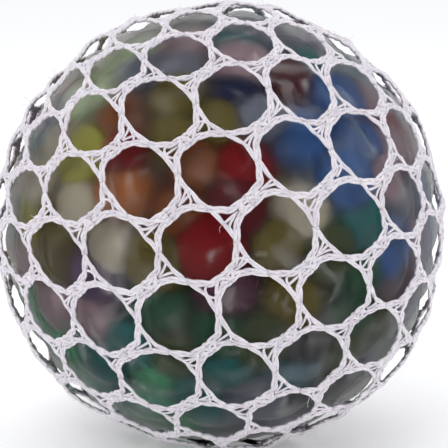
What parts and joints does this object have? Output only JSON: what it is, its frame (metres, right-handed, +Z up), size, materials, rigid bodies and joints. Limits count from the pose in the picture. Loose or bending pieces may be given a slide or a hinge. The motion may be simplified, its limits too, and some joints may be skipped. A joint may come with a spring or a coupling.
{
  "type": "mesh-covered squeeze ball",
  "caption": "Hand-size squeeze ball: clear rubber skin filled with water and coloured gel beads, wrapped in a knitted net that is gathered and tied at the back.",
  "frame": {"origin": "middle of the object's underside, where the ball rests on a table", "axes": "+Z up from the table; the middle of the wrap faces -Y and the tied tail points to +Y; +X to the right seen from the front"},
  "size_m": [0.0649, 0.0754, 0.0645],
  "materials": {
    "net_knit": "white knitted nylon, soft sheen",
    "tie_thread": "white twisted sewing thread",
    "clear_skin": "clear, slightly milky, glossy soft rubber",
    "plug_rubber": "translucent white soft rubber",
    "bead_rust": "wet, clear-coloured water gel",
    "bead_red": "wet, clear-coloured water gel",
    "bead_olive": "wet, clear-coloured water gel",
    "bead_orange": "wet, clear-coloured water gel",
    "bead_pearl": "wet, clear-coloured water gel",
    "bead_violet": "wet, clear-coloured water gel",
    "bead_forest": "wet, clear-coloured water gel",
    "bead_navy": "wet, clear-coloured water gel",
    "bead_slate": "wet, clear-coloured water gel",
    "bead_blue": "wet, clear-coloured water gel",
    "bead_teal": "wet, clear-coloured water gel",
    "bead_plum": "wet, clear-coloured water gel",
    "bead_green": "wet, clear-coloured water gel",
    "bead_sky": "wet, clear-coloured water gel",
    "bead_crimson": "wet, clear-coloured water gel",
    "bead_maroon": "wet, clear-coloured water gel",
    "bead_yellow": "wet, clear-coloured water gel",
    "bead_lime": "wet, clear-coloured water gel"
  },
  "bodies": {
    "wrap": {"net": "net_knit", "skin": "clear_skin"},
    "closure": {"tie_thread": "tie_thread", "filling_plug": "plug_rubber"},
    "bead_32_teal": {"bead_32_teal": "bead_teal"},
    "bead_01_rust": {"bead_01_rust": "bead_rust"},
    "bead_02_red": {"bead_02_red": "bead_red"},
    "bead_03_olive": {"bead_03_olive": "bead_olive"},
    "bead_04_orange": {"bead_04_orange": "bead_orange"},
    "bead_05_rust": {"bead_05_rust": "bead_rust"},
    "bead_06_pearl": {"bead_06_pearl": "bead_pearl"},
    "bead_07_olive": {"bead_07_olive": "bead_olive"},
    "bead_08_violet": {"bead_08_violet": "bead_violet"},
    "bead_09_forest": {"bead_09_forest": "bead_forest"},
    "bead_10_navy": {"bead_10_navy": "bead_navy"},
    "bead_11_slate": {"bead_11_slate": "bead_slate"},
    "bead_12_blue": {"bead_12_blue": "bead_blue"},
    "bead_13_pearl": {"bead_13_pearl": "bead_pearl"},
    "bead_14_olive": {"bead_14_olive": "bead_olive"},
    "bead_15_teal": {"bead_15_teal": "bead_teal"},
    "bead_16_blue": {"bead_16_blue": "bead_blue"},
    "bead_17_plum": {"bead_17_plum": "bead_plum"},
    "bead_18_forest": {"bead_18_forest": "bead_forest"},
    "bead_19_teal": {"bead_19_teal": "bead_teal"},
    "bead_20_green": {"bead_20_green": "bead_green"},
    "bead_21_teal": {"bead_21_teal": "bead_teal"},
    "bead_22_sky": {"bead_22_sky": "bead_sky"},
    "bead_23_slate": {"bead_23_slate": "bead_slate"},
    "bead_24_teal": {"bead_24_teal": "bead_teal"},
    "bead_25_teal": {"bead_25_teal": "bead_teal"},
    "bead_26_slate": {"bead_26_slate": "bead_slate"},
    "bead_27_plum": {"bead_27_plum": "bead_plum"},
    "bead_28_slate": {"bead_28_slate": "bead_slate"},
    "bead_29_crimson": {"bead_29_crimson": "bead_crimson"},
    "bead_30_slate": {"bead_30_slate": "bead_slate"},
    "bead_31_maroon": {"bead_31_maroon": "bead_maroon"},
    "bead_33_blue": {"bead_33_blue": "bead_blue"},
    "bead_34_orange": {"bead_34_orange": "bead_orange"},
    "bead_35_green": {"bead_35_green": "bead_green"},
    "bead_36_crimson": {"bead_36_crimson": "bead_crimson"},
    "bead_37_yellow": {"bead_37_yellow": "bead_yellow"},
    "bead_38_teal": {"bead_38_teal": "bead_teal"},
    "bead_39_violet": {"bead_39_violet": "bead_violet"},
    "bead_40_lime": {"bead_40_lime": "bead_lime"},
    "bead_41_blue": {"bead_41_blue": "bead_blue"},
    "bead_42_orange": {"bead_42_orange": "bead_orange"},
    "bead_43_green": {"bead_43_green": "bead_green"},
    "bead_44_crimson": {"bead_44_crimson": "bead_crimson"},
    "bead_45_yellow": {"bead_45_yellow": "bead_yellow"},
    "bead_46_teal": {"bead_46_teal": "bead_teal"},
    "bead_47_violet": {"bead_47_violet": "bead_violet"},
    "bead_48_lime": {"bead_48_lime": "bead_lime"},
    "bead_49_blue": {"bead_49_blue": "bead_blue"},
    "bead_50_orange": {"bead_50_orange": "bead_orange"},
    "bead_51_green": {"bead_51_green": "bead_green"},
    "bead_52_crimson": {"bead_52_crimson": "bead_crimson"},
    "bead_53_yellow": {"bead_53_yellow": "bead_yellow"},
    "bead_54_teal": {"bead_54_teal": "bead_teal"}
  },
  "joints": [
    {"name": "squeeze", "type": "slide", "parent": "wrap", "child": "bead_32_teal", "axis": [0, 0, -1], "range_m": [0, 0.0111], "stiffness_N_per_m": 1500, "deforming": ["net", "skin"]},
    {"name": "closure_sinks", "type": "slide", "parent": "wrap", "child": "closure", "axis": [0, 0, -1], "range_m": [0, 0.00638]},
    {"name": "bead_01_rust_sinks", "type": "slide", "parent": "wrap", "child": "bead_01_rust", "axis": [0, 0, -1], "range_m": [0, 0.00751]},
    {"name": "bead_02_red_sinks", "type": "slide", "parent": "wrap", "child": "bead_02_red", "axis": [0, 0, -1], "range_m": [0, 0.00869]},
    {"name": "bead_03_olive_sinks", "type": "slide", "parent": "wrap", "child": "bead_03_olive", "axis": [0, 0, -1], "range_m": [0, 0.00932]},
    {"name": "bead_04_orange_sinks", "type": "slide", "parent": "wrap", "child": "bead_04_orange", "axis": [0, 0, -1], "range_m": [0, 0.008]},
    {"name": "bead_05_rust_sinks", "type": "slide", "parent": "wrap", "child": "bead_05_rust", "axis": [0, 0, -1], "range_m": [0, 0.00959]},
    {"name": "bead_06_pearl_sinks", "type": "slide", "parent": "wrap", "child": "bead_06_pearl", "axis": [0, 0, -1], "range_m": [0, 0.00889]},
    {"name": "bead_07_olive_sinks", "type": "slide", "parent": "wrap", "child": "bead_07_olive", "axis": [0, 0, -1], "range_m": [0, 0.00706]},
    {"name": "bead_08_violet_sinks", "type": "slide", "parent": "wrap", "child": "bead_08_violet", "axis": [0, 0, -1], "range_m": [0, 0.00595]},
    {"name": "bead_09_forest_sinks", "type": "slide", "parent": "wrap", "child": "bead_09_forest", "axis": [0, 0, -1], "range_m": [0, 0.00533]},
    {"name": "bead_10_navy_sinks", "type": "slide", "parent": "wrap", "child": "bead_10_navy", "axis": [0, 0, -1], "range_m": [0, 0.01017]},
    {"name": "bead_11_slate_sinks", "type": "slide", "parent": "wrap", "child": "bead_11_slate", "axis": [0, 0, -1], "range_m": [0, 0.01062]},
    {"name": "bead_12_blue_sinks", "type": "slide", "parent": "wrap", "child": "bead_12_blue", "axis": [0, 0, -1], "range_m": [0, 0.0093]},
    {"name": "bead_13_pearl_sinks", "type": "slide", "parent": "wrap", "child": "bead_13_pearl", "axis": [0, 0, -1], "range_m": [0, 0.00752]},
    {"name": "bead_14_olive_sinks", "type": "slide", "parent": "wrap", "child": "bead_14_olive", "axis": [0, 0, -1], "range_m": [0, 0.00538]},
    {"name": "bead_15_teal_sinks", "type": "slide", "parent": "wrap", "child": "bead_15_teal", "axis": [0, 0, -1], "range_m": [0, 0.00717]},
    {"name": "bead_16_blue_sinks", "type": "slide", "parent": "wrap", "child": "bead_16_blue", "axis": [0, 0, -1], "range_m": [0, 0.00894]},
    {"name": "bead_17_plum_sinks", "type": "slide", "parent": "wrap", "child": "bead_17_plum", "axis": [0, 0, -1], "range_m": [0, 0.0058]},
    {"name": "bead_18_forest_sinks", "type": "slide", "parent": "wrap", "child": "bead_18_forest", "axis": [0, 0, -1], "range_m": [0, 0.005]},
    {"name": "bead_19_teal_sinks", "type": "slide", "parent": "wrap", "child": "bead_19_teal", "axis": [0, 0, -1], "range_m": [0, 0.00405]},
    {"name": "bead_20_green_sinks", "type": "slide", "parent": "wrap", "child": "bead_20_green", "axis": [0, 0, -1], "range_m": [0, 0.00349]},
    {"name": "bead_21_teal_sinks", "type": "slide", "parent": "wrap", "child": "bead_21_teal", "axis": [0, 0, -1], "range_m": [0, 0.00383]},
    {"name": "bead_22_sky_sinks", "type": "slide", "parent": "wrap", "child": "bead_22_sky", "axis": [0, 0, -1], "range_m": [0, 0.00354]},
    {"name": "bead_23_slate_sinks", "type": "slide", "parent": "wrap", "child": "bead_23_slate", "axis": [0, 0, -1], "range_m": [0, 0.00358]},
    {"name": "bead_24_teal_sinks", "type": "slide", "parent": "wrap", "child": "bead_24_teal", "axis": [0, 0, -1], "range_m": [0, 0.00254]},
    {"name": "bead_25_teal_sinks", "type": "slide", "parent": "wrap", "child": "bead_25_teal", "axis": [0, 0, -1], "range_m": [0, 0.00244]},
    {"name": "bead_26_slate_sinks", "type": "slide", "parent": "wrap", "child": "bead_26_slate", "axis": [0, 0, -1], "range_m": [0, 0.00227]},
    {"name": "bead_27_plum_sinks", "type": "slide", "parent": "wrap", "child": "bead_27_plum", "axis": [0, 0, -1], "range_m": [0, 0.00545]},
    {"name": "bead_28_slate_sinks", "type": "slide", "parent": "wrap", "child": "bead_28_slate", "axis": [0, 0, -1], "range_m": [0, 0.0075]},
    {"name": "bead_29_crimson_sinks", "type": "slide", "parent": "wrap", "child": "bead_29_crimson", "axis": [0, 0, -1], "range_m": [0, 0.00896]},
    {"name": "bead_30_slate_sinks", "type": "slide", "parent": "wrap", "child": "bead_30_slate", "axis": [0, 0, -1], "range_m": [0, 0.01029]},
    {"name": "bead_31_maroon_sinks", "type": "slide", "parent": "wrap", "child": "bead_31_maroon", "axis": [0, 0, -1], "range_m": [0, 0.0105]},
    {"name": "bead_33_blue_sinks", "type": "slide", "parent": "wrap", "child": "bead_33_blue", "axis": [0, 0, -1], "range_m": [0, 0.00638]},
    {"name": "bead_34_orange_sinks", "type": "slide", "parent": "wrap", "child": "bead_34_orange", "axis": [0, 0, -1], "range_m": [0, 0.00974]},
    {"name": "bead_35_green_sinks", "type": "slide", "parent": "wrap", "child": "bead_35_green", "axis": [0, 0, -1], "range_m": [0, 0.00156]},
    {"name": "bead_36_crimson_sinks", "type": "slide", "parent": "wrap", "child": "bead_36_crimson", "axis": [0, 0, -1], "range_m": [0, 0.01025]},
    {"name": "bead_37_yellow_sinks", "type": "slide", "parent": "wrap", "child": "bead_37_yellow", "axis": [0, 0, -1], "range_m": [0, 0.00552]},
    {"name": "bead_38_teal_sinks", "type": "slide", "parent": "wrap", "child": "bead_38_teal", "axis": [0, 0, -1], "range_m": [0, 0.00378]},
    {"name": "bead_39_violet_sinks", "type": "slide", "parent": "wrap", "child": "bead_39_violet", "axis": [0, 0, -1], "range_m": [0, 0.01089]},
    {"name": "bead_40_lime_sinks", "type": "slide", "parent": "wrap", "child": "bead_40_lime", "axis": [0, 0, -1], "range_m": [0, 0.00227]},
    {"name": "bead_41_blue_sinks", "type": "slide", "parent": "wrap", "child": "bead_41_blue", "axis": [0, 0, -1], "range_m": [0, 0.00798]},
    {"name": "bead_42_orange_sinks", "type": "slide", "parent": "wrap", "child": "bead_42_orange", "axis": [0, 0, -1], "range_m": [0, 0.00812]},
    {"name": "bead_43_green_sinks", "type": "slide", "parent": "wrap", "child": "bead_43_green", "axis": [0, 0, -1], "range_m": [0, 0.00243]},
    {"name": "bead_44_crimson_sinks", "type": "slide", "parent": "wrap", "child": "bead_44_crimson", "axis": [0, 0, -1], "range_m": [0, 0.01042]},
    {"name": "bead_45_yellow_sinks", "type": "slide", "parent": "wrap", "child": "bead_45_yellow", "axis": [0, 0, -1], "range_m": [0, 0.00428]},
    {"name": "bead_46_teal_sinks", "type": "slide", "parent": "wrap", "child": "bead_46_teal", "axis": [0, 0, -1], "range_m": [0, 0.00551]},
    {"name": "bead_47_violet_sinks", "type": "slide", "parent": "wrap", "child": "bead_47_violet", "axis": [0, 0, -1], "range_m": [0, 0.00952]},
    {"name": "bead_48_lime_sinks", "type": "slide", "parent": "wrap", "child": "bead_48_lime", "axis": [0, 0, -1], "range_m": [0, 0.00277]},
    {"name": "bead_49_blue_sinks", "type": "slide", "parent": "wrap", "child": "bead_49_blue", "axis": [0, 0, -1], "range_m": [0, 0.00863]},
    {"name": "bead_50_orange_sinks", "type": "slide", "parent": "wrap", "child": "bead_50_orange", "axis": [0, 0, -1], "range_m": [0, 0.00652]},
    {"name": "bead_51_green_sinks", "type": "slide", "parent": "wrap", "child": "bead_51_green", "axis": [0, 0, -1], "range_m": [0, 0.00427]},
    {"name": "bead_52_crimson_sinks", "type": "slide", "parent": "wrap", "child": "bead_52_crimson", "axis": [0, 0, -1], "range_m": [0, 0.00905]},
    {"name": "bead_53_yellow_sinks", "type": "slide", "parent": "wrap", "child": "bead_53_yellow", "axis": [0, 0, -1], "range_m": [0, 0.00459]},
    {"name": "bead_54_teal_sinks", "type": "slide", "parent": "wrap", "child": "bead_54_teal", "axis": [0, 0, -1], "range_m": [0, 0.00663]}
  ],
  "couplings": [
    {"joint": "closure_sinks", "follows": "squeeze", "ratio": 0.5745},
    {"joint": "bead_01_rust_sinks", "follows": "squeeze", "ratio": 0.6759},
    {"joint": "bead_02_red_sinks", "follows": "squeeze", "ratio": 0.7825},
    {"joint": "bead_03_olive_sinks", "follows": "squeeze", "ratio": 0.8393},
    {"joint": "bead_04_orange_sinks", "follows": "squeeze", "ratio": 0.7199},
    {"joint": "bead_05_rust_sinks", "follows": "squeeze", "ratio": 0.8639},
    {"joint": "bead_06_pearl_sinks", "follows": "squeeze", "ratio": 0.8005},
    {"joint": "bead_07_olive_sinks", "follows": "squeeze", "ratio": 0.636},
    {"joint": "bead_08_violet_sinks", "follows": "squeeze", "ratio": 0.5354},
    {"joint": "bead_09_forest_sinks", "follows": "squeeze", "ratio": 0.4797},
    {"joint": "bead_10_navy_sinks", "follows": "squeeze", "ratio": 0.9162},
    {"joint": "bead_11_slate_sinks", "follows": "squeeze", "ratio": 0.9564},
    {"joint": "bead_12_blue_sinks", "follows": "squeeze", "ratio": 0.8378},
    {"joint": "bead_13_pearl_sinks", "follows": "squeeze", "ratio": 0.6774},
    {"joint": "bead_14_olive_sinks", "follows": "squeeze", "ratio": 0.4838},
    {"joint": "bead_15_teal_sinks", "follows": "squeeze", "ratio": 0.6457},
    {"joint": "bead_16_blue_sinks", "follows": "squeeze", "ratio": 0.8046},
    {"joint": "bead_17_plum_sinks", "follows": "squeeze", "ratio": 0.5223},
    {"joint": "bead_18_forest_sinks", "follows": "squeeze", "ratio": 0.4501},
    {"joint": "bead_19_teal_sinks", "follows": "squeeze", "ratio": 0.3643},
    {"joint": "bead_20_green_sinks", "follows": "squeeze", "ratio": 0.3143},
    {"joint": "bead_21_teal_sinks", "follows": "squeeze", "ratio": 0.3444},
    {"joint": "bead_22_sky_sinks", "follows": "squeeze", "ratio": 0.3188},
    {"joint": "bead_23_slate_sinks", "follows": "squeeze", "ratio": 0.322},
    {"joint": "bead_24_teal_sinks", "follows": "squeeze", "ratio": 0.2281},
    {"joint": "bead_25_teal_sinks", "follows": "squeeze", "ratio": 0.2196},
    {"joint": "bead_26_slate_sinks", "follows": "squeeze", "ratio": 0.2042},
    {"joint": "bead_27_plum_sinks", "follows": "squeeze", "ratio": 0.4903},
    {"joint": "bead_28_slate_sinks", "follows": "squeeze", "ratio": 0.6756},
    {"joint": "bead_29_crimson_sinks", "follows": "squeeze", "ratio": 0.8066},
    {"joint": "bead_30_slate_sinks", "follows": "squeeze", "ratio": 0.9265},
    {"joint": "bead_31_maroon_sinks", "follows": "squeeze", "ratio": 0.9459},
    {"joint": "bead_33_blue_sinks", "follows": "squeeze", "ratio": 0.5745},
    {"joint": "bead_34_orange_sinks", "follows": "squeeze", "ratio": 0.8771},
    {"joint": "bead_35_green_sinks", "follows": "squeeze", "ratio": 0.14},
    {"joint": "bead_36_crimson_sinks", "follows": "squeeze", "ratio": 0.9233},
    {"joint": "bead_37_yellow_sinks", "follows": "squeeze", "ratio": 0.4968},
    {"joint": "bead_38_teal_sinks", "follows": "squeeze", "ratio": 0.34},
    {"joint": "bead_39_violet_sinks", "follows": "squeeze", "ratio": 0.981},
    {"joint": "bead_40_lime_sinks", "follows": "squeeze", "ratio": 0.2044},
    {"joint": "bead_41_blue_sinks", "follows": "squeeze", "ratio": 0.7185},
    {"joint": "bead_42_orange_sinks", "follows": "squeeze", "ratio": 0.7313},
    {"joint": "bead_43_green_sinks", "follows": "squeeze", "ratio": 0.2189},
    {"joint": "bead_44_crimson_sinks", "follows": "squeeze", "ratio": 0.9386},
    {"joint": "bead_45_yellow_sinks", "follows": "squeeze", "ratio": 0.3852},
    {"joint": "bead_46_teal_sinks", "follows": "squeeze", "ratio": 0.4958},
    {"joint": "bead_47_violet_sinks", "follows": "squeeze", "ratio": 0.8576},
    {"joint": "bead_48_lime_sinks", "follows": "squeeze", "ratio": 0.2494},
    {"joint": "bead_49_blue_sinks", "follows": "squeeze", "ratio": 0.7768},
    {"joint": "bead_50_orange_sinks", "follows": "squeeze", "ratio": 0.5867},
    {"joint": "bead_51_green_sinks", "follows": "squeeze", "ratio": 0.3844},
    {"joint": "bead_52_crimson_sinks", "follows": "squeeze", "ratio": 0.8151},
    {"joint": "bead_53_yellow_sinks", "follows": "squeeze", "ratio": 0.4135},
    {"joint": "bead_54_teal_sinks", "follows": "squeeze", "ratio": 0.5971}
  ]
}
